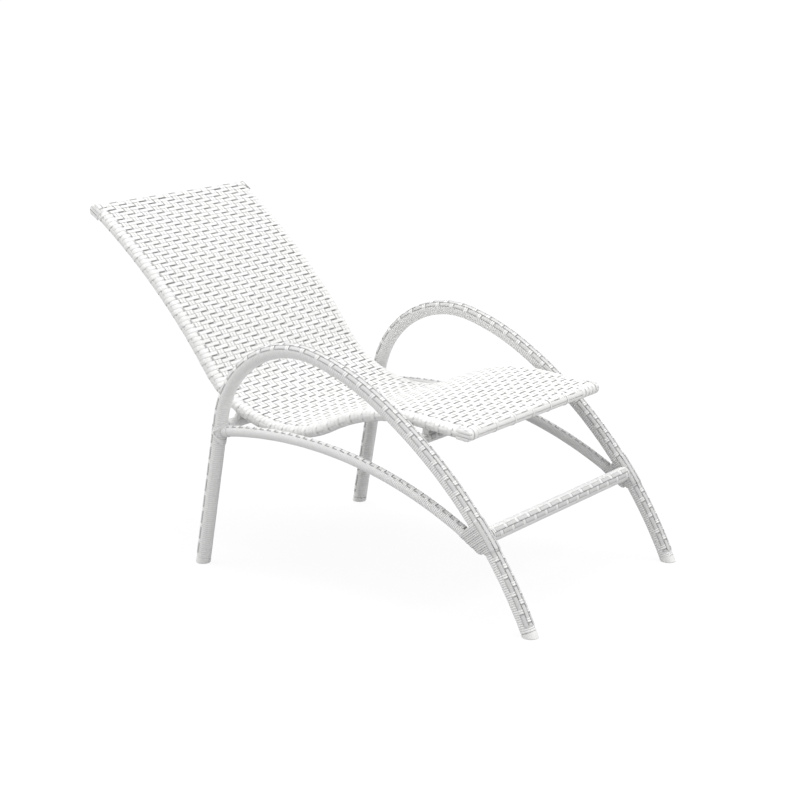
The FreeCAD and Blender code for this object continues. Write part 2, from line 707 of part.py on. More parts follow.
# At the rear leg a collar closes the stretcher's wrap, and a band ties it to the leg.
stretcher_point, stretcher_tangent, _ = place_on(stretcher_path, STRETCHER, 0.0)
collar = cylinder(
    "rear_collar", bar_radius + wrap + " + Dimensions.rear_collar_thickness", bound("rear_collar_length"),
    FreeCAD.Placement(stretcher_point, FreeCAD.Rotation(FreeCAD.Vector(0, 0, 1), stretcher_tangent)))
leg_direction = place_on(arm_path, ARM, 0.0)[1]
band_start = stretcher_point - leg_direction * (size("rear_band_height") / 2)
band = cylinder(
    "rear_band", frame_radius + wrap + " + Dimensions.lashing_thickness", bound("rear_band_height"),
    FreeCAD.Placement(band_start, FreeCAD.Rotation(FreeCAD.Vector(0, 0, 1), leg_direction)))
doc.recompute()
rear_binding = fuse("rear_binding", [collar, band])
binding_cutters = [arm_wound, stretcher_wound, bars_wound["rear_crossbar"], arm_leaders]
pair(cut("rear_lashing", rear_binding, binding_cutters), "rear_lashing")

# --------------------------------------------------------------- foot caps
# A plastic cap closes each leg: a spigot in the tube and a foot cut flat by the floor.
floor_width, floor_depth = 2000.0, 200.0
floor_level = 1e-3
floor_block = doc.addObject("Part::Box", "floor_block")
floor_block.Length = floor_width
floor_block.Width = floor_width
floor_block.Height = floor_depth
floor_block.Placement.Base = FreeCAD.Vector(-floor_width / 2, -floor_width / 2, -floor_depth)


def foot_cap(name, tube_end, into_tube):
    """A turned cap at a tube's end, with the underside cut level and its edge rounded."""
    body = doc.addObject("PartDesign::Body", name + "_body")
    sketch = body.newObject("Sketcher::SketchObject", name + "_profile")
    plane = [item for item in body.Origin.OriginFeatures if item.Role == "XZ_Plane"][0]
    sketch.AttachmentSupport = [(plane, "")]
    sketch.MapMode = "FlatFace"
    spigot = size("frame_tube_diameter") / 2 - size("tube_wall") - size("foot_spigot_clearance")
    foot = size("foot_cap_diameter") / 2
    depth = 2 * size("foot_cap_height")
    reach = size("foot_spigot_length")
    outline = [(0, -depth), (foot, -depth), (foot, 0), (spigot, 0), (spigot, reach), (0, reach)]
    count = len(outline)
    for number in range(count):
        first = FreeCAD.Vector(*outline[number], 0)
        last = FreeCAD.Vector(*outline[(number + 1) % count], 0)
        sketch.addGeometry(Part.LineSegment(first, last), False)
    for number in range(count):
        sketch.addConstraint(Sketcher.Constraint("Coincident", number, END, (number + 1) % count, START))
        kind = "Horizontal" if number % 2 == 0 else "Vertical"
        sketch.addConstraint(Sketcher.Constraint(kind, number))
    sketch.addConstraint(Sketcher.Constraint("PointOnObject", 0, START, -2))
    sketch.addConstraint(Sketcher.Constraint("PointOnObject", 2, START, -1))
    spigot_radius = frame_radius + wall + " - Dimensions.foot_spigot_clearance"
    sizes = [
        (("DistanceX", 0, START, 0, END, foot), "Dimensions.foot_cap_diameter / 2"),
        (("DistanceY", 1, START, 1, END, depth), "2 * Dimensions.foot_cap_height"),
        (("DistanceX", 4, END, 4, START, spigot), spigot_radius),
        (("DistanceY", 3, START, 3, END, reach), bound("foot_spigot_length")),
    ]
    for rule, expression in sizes:
        number = sketch.addConstraint(Sketcher.Constraint(*rule))
        sketch.setExpression("Constraints[%d]" % number, expression)
    turned = body.newObject("PartDesign::Revolution", name + "_turned")
    turned.Profile = sketch
    turned.ReferenceAxis = (sketch, ["V_Axis"])
    turned.Angle = 360
    body.Placement = FreeCAD.Placement(tube_end, FreeCAD.Rotation(FreeCAD.Vector(0, 0, 1), into_tube))
    doc.recompute()
    level = cut(name + "_level", body, [floor_block])
    rounded = doc.addObject("Part::Fillet", name)
    rounded.Base = level
    radius = size("foot_edge_round")
    rounded.Edges = [
        (number, radius, radius)
        for number, edge in enumerate(level.Shape.Edges, start=1)
        if edge.BoundBox.ZMax < floor_level
    ]
    doc.recompute()
    return rounded


rear_end, rear_up, _ = place_on(arm_path, ARM, 0.0)
front_end, front_down, _ = place_on(arm_path, ARM, 1.0)
pair(foot_cap("rear_foot_cap", rear_end, rear_up), "rear_foot_cap")
pair(foot_cap("front_foot_cap", front_end, -front_down), "front_foot_cap")

# ------------------------------------------- spacers, screws and rivet nuts
pair(spacers["rear"], "rear_shell_spacer")
pair(spacers["seat"], "seat_shell_spacer")
for label, pieces in (("shell_mounting_screws", screws), ("shell_rivet_nuts", nuts)):
    group = doc.addObject("Part::Compound", label + "_group")
    group.Links = pieces
    sub_part(group, label)
doc.recompute()

# ------------------------------------------------------------ check and write
faults = [item.Name for item in doc.Objects if "Invalid" in item.State or "Error" in item.State]
assert not faults, "failed objects: %s" % faults
for item in nodes:
    assert not item.Shape.isNull(), item.Label + " is empty"
    assert item.Shape.isValid(), item.Label + " is not valid"
    assert item.Shape.Volume > 0, item.Label + " has no volume"

os.makedirs("parts", exist_ok=True)
whole = FreeCAD.BoundBox()
for item in nodes:
    item.Shape.exportStep("parts/%s.step" % item.Label)
    whole.add(item.Shape.optimalBoundingBox(False, False))
    print("%-26s solids %2d  volume %10.0f mm3" % (item.Label, len(item.Shape.Solids), item.Shape.Volume))
print("nodes %d  box %.1f..%.1f  %.1f..%.1f  %.1f..%.1f" % (
    len(nodes), whole.XMin, whole.XMax, whole.YMin, whole.YMax, whole.ZMin, whole.ZMax))
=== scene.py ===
"""White woven lounge chair: strip-wound side frames and a twill-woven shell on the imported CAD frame."""

import json
import math

import bpy
import numpy as np
from mathutils import Matrix, Vector


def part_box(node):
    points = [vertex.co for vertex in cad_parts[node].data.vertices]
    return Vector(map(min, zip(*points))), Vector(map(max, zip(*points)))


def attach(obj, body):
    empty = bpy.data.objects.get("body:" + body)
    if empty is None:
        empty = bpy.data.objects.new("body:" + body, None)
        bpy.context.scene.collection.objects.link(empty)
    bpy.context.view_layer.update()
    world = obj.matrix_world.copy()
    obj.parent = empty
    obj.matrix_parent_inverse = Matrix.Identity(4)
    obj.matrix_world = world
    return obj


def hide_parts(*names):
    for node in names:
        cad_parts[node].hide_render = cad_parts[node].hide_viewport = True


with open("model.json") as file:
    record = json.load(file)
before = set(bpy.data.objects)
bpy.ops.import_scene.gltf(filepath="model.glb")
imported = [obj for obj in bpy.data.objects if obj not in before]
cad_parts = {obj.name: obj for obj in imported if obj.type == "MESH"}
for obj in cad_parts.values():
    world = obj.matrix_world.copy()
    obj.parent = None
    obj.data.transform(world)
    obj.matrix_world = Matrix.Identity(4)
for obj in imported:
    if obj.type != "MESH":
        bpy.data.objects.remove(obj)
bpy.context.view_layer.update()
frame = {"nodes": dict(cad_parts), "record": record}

MM = 0.001
rng = np.random.default_rng(11)
X_AXIS = np.array([1.0, 0.0, 0.0])


# ------------------------------------------------------------------ places
def middle(node):
    """The middle of a CAD node's box."""
    low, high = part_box(node)
    return (low + high) / 2


FRAME_REACH = abs(middle("right_arm_leg_tube").x)
RAIL_REACH = abs(middle("right_shell_rail").x)
FRONT_BAR = middle("shell_front_bar")


def bend(radius, degrees, turn):
    """One curved run of a track."""
    return radius * math.radians(degrees), radius, turn


# The bent tubes, in metres and degrees. A heading is a track's first direction, turned from
# +Y towards +Z. Each run is (length, radius, turn), where turn is 1 to the left, -1 to the
# right and 0 for a straight run.
ARM_HEADING = 100.4
ARM_RUNS = [(0.363, 0, 0), bend(0.224, 95.0, 1), bend(0.596, 16.5, 1), bend(1.079, 33.4, 1)]
STRETCHER_HEADING = 170.45
STRETCHER_RUNS = [bend(1.023, 43.0, 1)]
SHELL_HEADING = 5.8
SHELL_RUNS = [(0.137, 0, 0), bend(0.416, 33.4, -1), bend(0.283, 82.7, 1), bend(1.491, 18.9, -1)]
FOOT_CAP_HEIGHT = 0.012
REAR_FOOT_Y = next(m for m in frame["record"]["mounts"] if m["name"] == "right_rear_foot")["pos_m"][1]
ARM_START = (
    REAR_FOOT_Y + FOOT_CAP_HEIGHT * math.cos(math.radians(ARM_HEADING)),
    FOOT_CAP_HEIGHT * math.sin(math.radians(ARM_HEADING)),
)
STRETCHER_START = (REAR_FOOT_Y - 0.0595, 0.333)


class Track:
    """The centreline of a bent tube, in a plane of constant X."""

    def __init__(self, x, start, heading, runs):
        self.x = x
        self.runs = []
        y, z = start
        heading = math.radians(heading)
        self.length = 0.0
        for length, radius, turn in runs:
            curve = turn / radius if turn else 0.0
            self.runs.append((self.length, y, z, heading, curve))
            y, z, heading = self.step(y, z, heading, curve, length)
            self.length += length

    @staticmethod
    def step(y, z, heading, curve, distance):
        """Place and heading a distance further along one run."""
        if curve == 0:
            return y + distance * np.cos(heading), z + distance * np.sin(heading), heading + 0 * distance
        later = heading + curve * distance
        y = y + (np.sin(later) - np.sin(heading)) / curve
        z = z - (np.cos(later) - np.cos(heading)) / curve
        return y, z, later

    def at(self, s):
        """Centre, tangent and left normal at an array of lengths."""
        s = np.asarray(s, float)
        y, z, heading = np.zeros_like(s), np.zeros_like(s), np.zeros_like(s)
        for number, (begin, y0, z0, heading0, curve) in enumerate(self.runs):
            here = s >= begin if number else np.ones_like(s, bool)
            y[here], z[here], heading[here] = self.step(y0, z0, heading0, curve, s[here] - begin)
        centre = np.stack([np.full_like(s, self.x), y, z], axis=-1)
        tangent = np.stack([0 * s, np.cos(heading), np.sin(heading)], axis=-1)
        left = np.stack([0 * s, -np.sin(heading), np.cos(heading)], axis=-1)
        return centre, tangent, left


def round_frame(track, side):
    """Surface of a side tube: angles run from the outer side of the chair to the outside of the bend."""
    def place(s, angle, radius):
        centre, _, left = track.at(s)
        out = np.cos(angle)[..., None] * X_AXIS * side - np.sin(angle)[..., None] * left
        return centre + radius[..., None] * out
    return place


def round_bar(centre):
    """Surface of a bar along X: angle 0 faces +Y and 90 degrees faces up."""
    def place(s, angle, radius):
        s = np.broadcast_to(s, np.broadcast(s, angle, radius).shape)
        return np.stack(
            [s, centre.y + radius * np.cos(angle), centre.z + radius * np.sin(angle)], axis=-1)
    return place


SHELL = Track(0.0, (FRONT_BAR.y, FRONT_BAR.z), SHELL_HEADING, SHELL_RUNS)
TURN_RADIUS = 13.7 * MM  # of the strips round rails and end bars
QUARTER_TURN = math.pi / 2 * TURN_RADIUS


def shell_place(x, s, n):
    """A point n off the shell's middle line: past the rails and end bars it turns round them."""
    x, s, n = np.broadcast_arrays(x, s, n)
    inside = np.clip(s, 0, SHELL.length)
    centre, tangent, left = SHELL.at(inside)
    roll = ((s - inside) / TURN_RADIUS)[..., None]
    normal = left * np.cos(roll) + tangent * np.sin(roll)
    flat = np.clip(x, -RAIL_REACH, RAIL_REACH)
    sway = ((x - flat) / TURN_RADIUS)[..., None]
    out = normal * np.cos(sway) + X_AXIS * np.sin(sway)
    return centre + flat[..., None] * X_AXIS + n[..., None] * out


# ----------------------------------------------------------------- strips
def smooth(t):
    """An eased step from 0 to 1."""
    t = np.clip(t, 0, 1)
    return t * t * (3 - 2 * t)


def bump(distance, inner, outer):
    """1 within inner, easing to 0 at outer."""
    return 1 - smooth((np.abs(distance) - inner) / (outer - inner))


def section(width, thickness, face):
    """Closed section of a flat strip as (across, height): face is its top, from one edge to the other."""
    top = [(across * width, height * thickness) for across, height in face]
    bottom = [(0.46 * width, -0.5 * thickness), (-0.46 * width, -0.5 * thickness)]
    return np.array(top + bottom)


def edge_shade(profile, width, depth):
    """Painted shade across a section: 1 on its face, less by depth at its edges and underneath."""
    return 1 - depth * smooth((np.abs(profile[:, 0]) / width - 0.40) / 0.06)


def sweep(path, across, out, profile):
    """A strip along a path: across and out are the directions of its section's width and height."""
    return (path[:, None, :] + profile[None, :, 0:1] * across[..., None, :]
            + profile[None, :, 1:2] * out[:, None, :])


RIBBED_FACE = [
    (-0.5, -0.1), (-0.43, 0.36), (-0.22, 0.33), (0.0, 0.5), (0.22, 0.33), (0.43, 0.36), (0.5, -0.1)]
ROUND_FACE = [(-0.5, -0.05), (-0.40, 0.36), (0.0, 0.5), (0.40, 0.36), (0.5, -0.05)]
PLAIN_FACE = [(-0.5, -0.15), (-0.40, 0.34), (0.0, 0.5), (0.40, 0.34), (0.5, -0.15)]


class Strands:
    """Collects closed strips into one mesh, with each strip's own coordinates for its material."""

    def __init__(self):
        self.points, self.strip, self.light, self.quads, self.caps = [], [], [], [], []
        self.total = 0

    def add(self, grid, across, along, painted_shading=1.0, closed=False):
        """grid is (stations, section, 3); the last argument is painted shade, multiplied into the colour: 1
        in the open and 0 deep between strips.
        """
        stations, count, _ = grid.shape
        index = self.total + np.arange(stations * count).reshape(stations, count)
        if closed:
            index = np.vstack([index, index[:1]])
        ahead = np.roll(index, -1, axis=1)
        quads = np.stack([index[:-1], ahead[:-1], ahead[1:], index[1:]], axis=-1).reshape(-1, 4)
        flat = grid.reshape(-1, 3)
        corner = (flat - flat.mean(axis=0))[quads - self.total]
        volume = np.einsum("ij,ij->", np.cross(corner[:, 0], corner[:, 1]), corner[:, 2])
        volume += np.einsum("ij,ij->", np.cross(corner[:, 0], corner[:, 2]), corner[:, 3])
        caps = [] if closed else [index[0][::-1], index[-1]]
        if volume < 0:
            quads = quads[:, ::-1]
            caps = [cap[::-1] for cap in caps]
        shade = rng.random()
        strip = np.empty((stations, count, 3))
        strip[..., 0] = across
        strip[..., 1] = np.asarray(along)[:, None]
        strip[..., 2] = shade
        self.points.append(flat)
        self.strip.append(strip.reshape(-1, 3))
        self.light.append(np.broadcast_to(painted_shading, (stations, count)).ravel())
        self.quads.append(quads)
        self.caps += caps
        self.total += stations * count

    def piece(self, name, material, slot, *replaced):
        """Makes the mesh object and rides it on the frame."""
        points = np.concatenate(self.points).astype(np.float32)
        quads = np.concatenate(self.quads)
        loops = np.concatenate([quads.ravel()] + self.caps).astype(np.int32)
        sizes = np.array([4] * len(quads) + [len(cap) for cap in self.caps], np.int32)
        starts = np.concatenate([[0], np.cumsum(sizes)[:-1]]).astype(np.int32)
        mesh = bpy.data.meshes.new(name)
        mesh.vertices.add(len(points))
        mesh.vertices.foreach_set("co", points.ravel())
        mesh.loops.add(len(loops))
        mesh.loops.foreach_set("vertex_index", loops)
        mesh.polygons.add(len(sizes))
        mesh.polygons.foreach_set("loop_start", starts)
        mesh.polygons.foreach_set("loop_total", sizes)
        mesh.polygons.foreach_set("use_smooth", np.ones(len(sizes), bool))
        attribute = mesh.attributes.new("strip", "FLOAT_VECTOR", "POINT")
        attribute.data.foreach_set("vector", np.concatenate(self.strip).astype(np.float32).ravel())
        # painted shade per point: the strip material darkens the base colour where this is low
        attribute = mesh.attributes.new("painted_shading", "FLOAT", "POINT")
        attribute.data.foreach_set("value", np.concatenate(self.light).astype(np.float32))
        mesh.update(calc_edges=True)
        mesh.materials.append(material)
        piece = bpy.data.objects.new(name, mesh)
        bpy.context.scene.collection.objects.link(piece)
        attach(piece, "root")
        if replaced:
            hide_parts(*replaced)
        print("%-28s %7d faces" % (name, len(sizes)))
        return piece


def steps(start, end, step):
    """Evenly spaced lengths from start to end, about a step apart."""
    return np.linspace(start, end, max(2, int(round(abs(end - start) / step)) + 1))


# ------------------------------------------------------------- materials
def node_material(name):
    """A new material with its Principled shader and a maker of nodes."""
    material = bpy.data.materials.new(name)
    material.use_nodes = True
    tree = material.node_tree
    shader = tree.nodes["Principled BSDF"]

    def make(kind, **values):
        node = tree.nodes.new(kind)
        for key, value in values.items():
            if hasattr(node, key):
                setattr(node, key, value)
            else:
                node.inputs[key.replace("_", " ")].default_value = value
        return node

    return material, tree.links, shader, make


def tint(links, make, factor, dark, light):
    """A colour between dark and light, driven by a factor."""
    ramp = make("ShaderNodeValToRGB")
    ramp.color_ramp.elements[0].color = (*dark, 1)
    ramp.color_ramp.elements[1].color = (*light, 1)
    links.new(factor, ramp.inputs["Fac"])
    return ramp.outputs["Color"]


def strip_material(name, dark, light, ribs):
    """Extruded plastic strip: fine lengthwise ribs, a little random brightness from strip to strip, satin,
    and painted shade from each point's shading value.
    """
    material, links, shader, make = node_material(name)
    strip = make("ShaderNodeAttribute", attribute_name="strip")
    parts = make("ShaderNodeSeparateXYZ")
    links.new(strip.outputs["Vector"], parts.inputs[0])
    place = make("ShaderNodeTexCoord")
    broad = make("ShaderNodeTexNoise", Scale=14.0, Detail=3.0)
    grain = make("ShaderNodeTexNoise", Scale=1400.0, Detail=2.0)
    links.new(place.outputs["Object"], broad.inputs["Vector"])
    links.new(place.outputs["Object"], grain.inputs["Vector"])
    blend = make("ShaderNodeMath", operation="MULTIPLY_ADD")
    links.new(parts.outputs[2], blend.inputs[0])
    blend.inputs[1].default_value = 0.55
    half = make("ShaderNodeMath", operation="MULTIPLY")
    links.new(broad.outputs["Fac"], half.inputs[0])
    half.inputs[1].default_value = 0.45
    links.new(half.outputs[0], blend.inputs[2])
    # Painted shade: the base colour is darkened down to 0.44 of itself where the per-point shading value is
    # low, in crevices and beside other strips.
    deep = make("ShaderNodeAttribute", attribute_name="painted_shading")
    shade = make("ShaderNodeMapRange", To_Min=0.44, To_Max=1.0)
    links.new(deep.outputs["Fac"], shade.inputs["Value"])
    shaded = make("ShaderNodeVectorMath", operation="SCALE")
    links.new(tint(links, make, blend.outputs[0], dark, light), shaded.inputs[0])
    links.new(shade.outputs[0], shaded.inputs["Scale"])
    links.new(shaded.outputs[0], shader.inputs["Base Color"])
    gloss = make("ShaderNodeMapRange", To_Min=0.38, To_Max=0.56)
    links.new(broad.outputs["Fac"], gloss.inputs["Value"])
    links.new(gloss.outputs[0], shader.inputs["Roughness"])
    turn = make("ShaderNodeMath", operation="MULTIPLY")
    links.new(parts.outputs[0], turn.inputs[0])
    turn.inputs[1].default_value = ribs * 2 * math.pi
    wave = make("ShaderNodeMath", operation="COSINE")
    links.new(turn.outputs[0], wave.inputs[0])
    relief = make("ShaderNodeMath", operation="MULTIPLY_ADD")
    links.new(grain.outputs["Fac"], relief.inputs[0])
    relief.inputs[1].default_value = 0.35
    links.new(wave.outputs[0], relief.inputs[2])
    bumps = make("ShaderNodeBump", Strength=0.45, Distance=0.00012)
    links.new(relief.outputs[0], bumps.inputs["Height"])
    links.new(bumps.outputs[0], shader.inputs["Normal"])
    shader.inputs["Specular IOR Level"].default_value = 0.45
    return material


def moulded_material(name, dark, light, scale, depth, rough, metal=0.0, stretch=(1, 1, 1)):
    """Moulded, painted or drawn surfaces: two tones and a fine relief, stretched along a direction."""
    material, links, shader, make = node_material(name)
    place = make("ShaderNodeTexCoord")
    turned = make("ShaderNodeMapping")
    turned.inputs["Scale"].default_value = stretch
    links.new(place.outputs["Object"], turned.inputs["Vector"])
    broad = make("ShaderNodeTexNoise", Scale=22.0, Detail=3.0)
    fine = make("ShaderNodeTexNoise", Scale=scale, Detail=2.0)
    links.new(turned.outputs[0], broad.inputs["Vector"])
    links.new(turned.outputs[0], fine.inputs["Vector"])
    links.new(tint(links, make, broad.outputs["Fac"], dark, light), shader.inputs["Base Color"])
    gloss = make("ShaderNodeMapRange", To_Min=rough - 0.08, To_Max=rough + 0.08)
    links.new(fine.outputs["Fac"], gloss.inputs["Value"])
    links.new(gloss.outputs[0], shader.inputs["Roughness"])
    bumps = make("ShaderNodeBump", Strength=0.4, Distance=depth)
    links.new(fine.outputs["Fac"], bumps.inputs["Height"])
    links.new(bumps.outputs[0], shader.inputs["Normal"])
    shader.inputs["Metallic"].default_value = metal
    return material


WOVEN = strip_material("woven strip", (0.80, 0.80, 0.79), (0.88, 0.88, 0.875), 5)
WOUND = strip_material("wound strip", (0.79, 0.79, 0.785), (0.87, 0.87, 0.865), 3)
COATED = moulded_material("coated tube", (0.60, 0.60, 0.60), (0.68, 0.68, 0.675), 700, 0.00010, 0.42)
RIB_PAINT = moulded_material("rib paint", (0.76, 0.76, 0.75), (0.82, 0.82, 0.81), 900, 0.00012, 0.40)
FOOT = moulded_material("foot plastic", (0.80, 0.80, 0.79), (0.86, 0.86, 0.85), 1600, 0.00006, 0.38)
SPACER = moulded_material("spacer plastic", (0.72, 0.72, 0.71), (0.79, 0.79, 0.78), 1200, 0.00006, 0.45)
STEEL = moulded_material(
    "fastener steel", (0.50, 0.50, 0.51), (0.63, 0.63, 0.64), 500, 0.00004, 0.30, 1.0, (1, 1, 12))

# finish of the CAD nodes that stay in sight, by a part of their names
NODE_FINISH = {
    "tube": COATED, "shell_rail": COATED, "shell_front_bar": COATED, "shell_head_bar": COATED,
    "shell_back_rib": RIB_PAINT, "shell_seat_rib": RIB_PAINT, "foot_cap": FOOT,
    "spacer": SPACER, "screws": STEEL, "rivet_nuts": STEEL,
}
for node_name, node in frame["nodes"].items():
    for name_part, finish in NODE_FINISH.items():
        if name_part in node_name:
            node.data.materials.clear()
            node.data.materials.append(finish)

# --------------------------------------------------- the shell's twill weave
# Strips that run along the shell lie in pairs; strips across it go over two
# pairs and under one, a pair further over at each row.
PAIR_PITCH = 24.0 * MM
PAIR_SHIFT = -5.3 * MM
PAIRS = range(-10, 12)
ALONG_WIDTH = 9.9 * MM
ROW_PITCH = 11.555 * MM
ROW_SHIFT = 0.5 * MM
ACROSS_WIDTH = 10.1 * MM
STRIP_THICKNESS = 1.45 * MM
MID_HEIGHT = 12.45 * MM
WAVE = 1.05 * MM
FIRST_UNDER = 1
EDGE_PERIOD = 3
BACK_TURN = 34 * MM  # how far past the head bar's middle there are rows
ROWS = range(-2, int((SHELL.length + BACK_TURN) / ROW_PITCH))
TUCK = 20 * MM  # rows this near an end bar stop at the bar's own winding
RAIL_WRAP = math.radians(292)  # of a cross strip round each rail
END_WRAP = math.radians(196)  # of a lengthwise strip round each end bar
RAIL_RISE = 0.95 * MM  # of a cross strip where it turns round a rail
EDGE_RISE = 1.75 * MM  # of a cross strip where it passes over an edge strip
# Distances from a pair's middle, or from a row's, between which a strip changes height or shade
DIP = 8.2 * MM, 15.0 * MM
DIP_SHADE = 10.4 * MM, 14.2 * MM
NEIGHBOUR_SHADE = 9.5 * MM, 12.5 * MM
CREST = 4.6 * MM, 8.6 * MM
CREST_SHADE = 5.9 * MM, 7.2 * MM

across_section = section(ACROSS_WIDTH, STRIP_THICKNESS, RIBBED_FACE)
along_section = section(ALONG_WIDTH, STRIP_THICKNESS, PLAIN_FACE)


def row_centre(row):
    """Length along the shell of one row's middle."""
    return ROW_SHIFT + (row + 0.5) * ROW_PITCH


def pair_centre(pair):
    """X of one pair of lengthwise strips."""
    return PAIR_SHIFT + pair * PAIR_PITCH


def under_pair(row):
    """Which pair, counted round by three, lies over this row."""
    return (FIRST_UNDER - row) % 3


def pair_offset(x, row):
    """Distance along X from the nearest pair that lies over this row."""
    return (x - pair_centre(under_pair(row)) + 1.5 * PAIR_PITCH) % (3 * PAIR_PITCH) - 1.5 * PAIR_PITCH


def across_strip(strands, row):
    """One strip from rail to rail, woven through the lengthwise pairs."""
    centre = row_centre(row)
    wrapped = TUCK < centre < SHELL.length - TUCK
    if wrapped:
        turn = steps(0, RAIL_WRAP, math.radians(11)) * TURN_RADIUS
    else:
        turn = steps(0, 5 * MM, 1.5 * MM)
    flat = steps(-RAIL_REACH, RAIL_REACH, 2.4 * MM)
    x = np.concatenate([-RAIL_REACH - turn[:0:-1], flat, RAIL_REACH + turn[1:]])
    past = np.abs(x) - RAIL_REACH
    offset = pair_offset(x, row)
    inside = bump(x, RAIL_REACH - 12 * MM, RAIL_REACH - 3 * MM)
    weave = WAVE * (1 - 2 * bump(offset, *DIP))
    height = MID_HEIGHT + inside * weave + (1 - inside) * RAIL_RISE
    if wrapped and row % EDGE_PERIOD == 0:
        height = height + EDGE_RISE * bump(past - QUARTER_TURN, 5.5 * MM, 11 * MM)
    if not wrapped:
        height = height - 1.6 * MM * smooth((past + 8 * MM) / (9 * MM))
    phase = rng.random(3) * 2 * math.pi
    wander = 0.22 * MM * np.sin(x / 0.043 + phase[0]) + 0.16 * MM * np.sin(x / 0.017 + phase[1])
    lean = 0.03 * math.sin(phase[2])
    spread = 1 + (1.02 * ROW_PITCH / ACROSS_WIDTH - 1) * (1 - inside)
    s = centre + (wander * inside)[:, None] + spread[:, None] * across_section[None, :, 0]
    n = height[:, None] + across_section[None, :, 1] + lean * across_section[None, :, 0]
    # Painted shade: darker where the strip dips under a pair, and along its edges, most where the next row
    # floats over the same span too, which draws the twill's dark dashes.
    risen = 1 - inside * bump(offset, *DIP_SHADE)
    sideways = across_section[:, 0] / ACROSS_WIDTH
    painted_shading = risen[:, None] * np.ones(len(sideways))
    for step in (-1, 1):
        beside = 1 - bump(pair_offset(x, row + step), *NEIGHBOUR_SHADE)
        depth = 0.12 + 0.88 * beside * risen * inside
        edge = smooth((sideways * step - 0.36) / 0.08)
        painted_shading = painted_shading * (1 - depth[:, None] * edge[None, :])
    strands.add(shell_place(x[:, None], s, n), sideways, x, painted_shading)


def along_pair(strands, pair):
    """The two strips of one lengthwise pair, turned round both end bars."""
    end_turn = END_WRAP * TURN_RADIUS
    s = steps(-end_turn, SHELL.length + end_turn, ROW_PITCH / 6)
    row = (s - ROW_SHIFT) / ROW_PITCH
    phase = (row - 0.5 - (FIRST_UNDER - pair) + 1.5) % 3 - 1.5
    weave = WAVE * (2 * bump(phase * ROW_PITCH, *CREST) - 1)
    woven = smooth((s + 14 * MM) / (6 * MM)) * smooth((SHELL.length + 36 * MM - s) / (6 * MM))
    height = MID_HEIGHT + woven * weave + (1 - woven) * 0.36 * MM
    # Painted shade: darker where the strip dips under the cross strips, and a little at its edges.
    seen = 1 - woven * (1 - bump(phase * ROW_PITCH, *CREST_SHADE))
    shade = seen[:, None] * edge_shade(along_section, ALONG_WIDTH, 0.10)
    for half in (-1, 1):
        wave = rng.random() * 2 * math.pi
        wander = 0.15 * MM * np.sin(s / 0.06 + wave)
        x = pair_centre(pair) + half * (ALONG_WIDTH / 2 + 0.12 * MM)
        xs = x + wander[:, None] + along_section[None, :, 0]
        n = height[:, None] + along_section[None, :, 1]
        strands.add(shell_place(xs, s[:, None], n), along_section[:, 0] / ALONG_WIDTH, s, shade)


def build_weave():
    """All woven strips of the shell, in three pieces."""
    seat, back, lengthwise = Strands(), Strands(), Strands()
    split = SHELL.length / 2
    for row in ROWS:
        across_strip(seat if row_centre(row) < split else back, row)
    for pair in PAIRS:
        along_pair(lengthwise, pair)
    seat.piece("seat_cross_strips", WOVEN, "woven_strip", "right_rail_winding", "left_rail_winding")
    back.piece("back_cross_strips", WOVEN, "woven_strip", "shell_head_binding")
    lengthwise.piece("shell_lengthwise_strips", WOVEN, "woven_strip", "seat_back_weave")


# ------------------------------------- strips along the rails and end bars
EDGE_WIDTH = 9.0 * MM
edge_section = section(EDGE_WIDTH, 1.2 * MM, PLAIN_FACE)
BINDER_WIDTH = 8.4 * MM
binder_section = section(BINDER_WIDTH, 1.3 * MM, PLAIN_FACE)
STRAP_WIDTH = 6.6 * MM
strap_section = section(STRAP_WIDTH, 1.1 * MM, PLAIN_FACE)
FACE_WIDTH = 10.4 * MM
FACE_START, FACE_PITCH = -11.0 * MM, 10.9 * MM  # of the two face strips, past the front edge
FACE_ENDS = -253 * MM, 205 * MM  # X of their ends, beside the rings
face_section = section(FACE_WIDTH, 1.2 * MM, RIBBED_FACE)
STRAP_PITCH = 77.1 * MM
STRAPS = [-173.5 * MM + number * STRAP_PITCH for number in range(5)]
RING_WIDTH = 15.6 * MM
ring_section = section(RING_WIDTH, 1.3 * MM, RIBBED_FACE)
RING_FIRST, RING_PITCH = 276.4 * MM, 16.2 * MM
RING_SPAN = -34, 205  # degrees round an end bar, counted outwards from the end of the sheet
STRAP_SPAN = 18, -200  # the same, counted inwards
EDGE_STRIP_RADIUS = 15 * MM
CORNER_TILTS = -38, 0, 38  # degrees, from beside the rail towards its top
CORNER_RADIUS = 13.9 * MM  # of the corner strips round the rail and the end bar
CORNER_BEND = 4.5 * MM
CORNER_FLANK = 285.2 * MM  # X of the corner strips beside the rail
CORNER_ENDS = [277 * MM, 273 * MM]  # X of their ends, tucked under the first ring


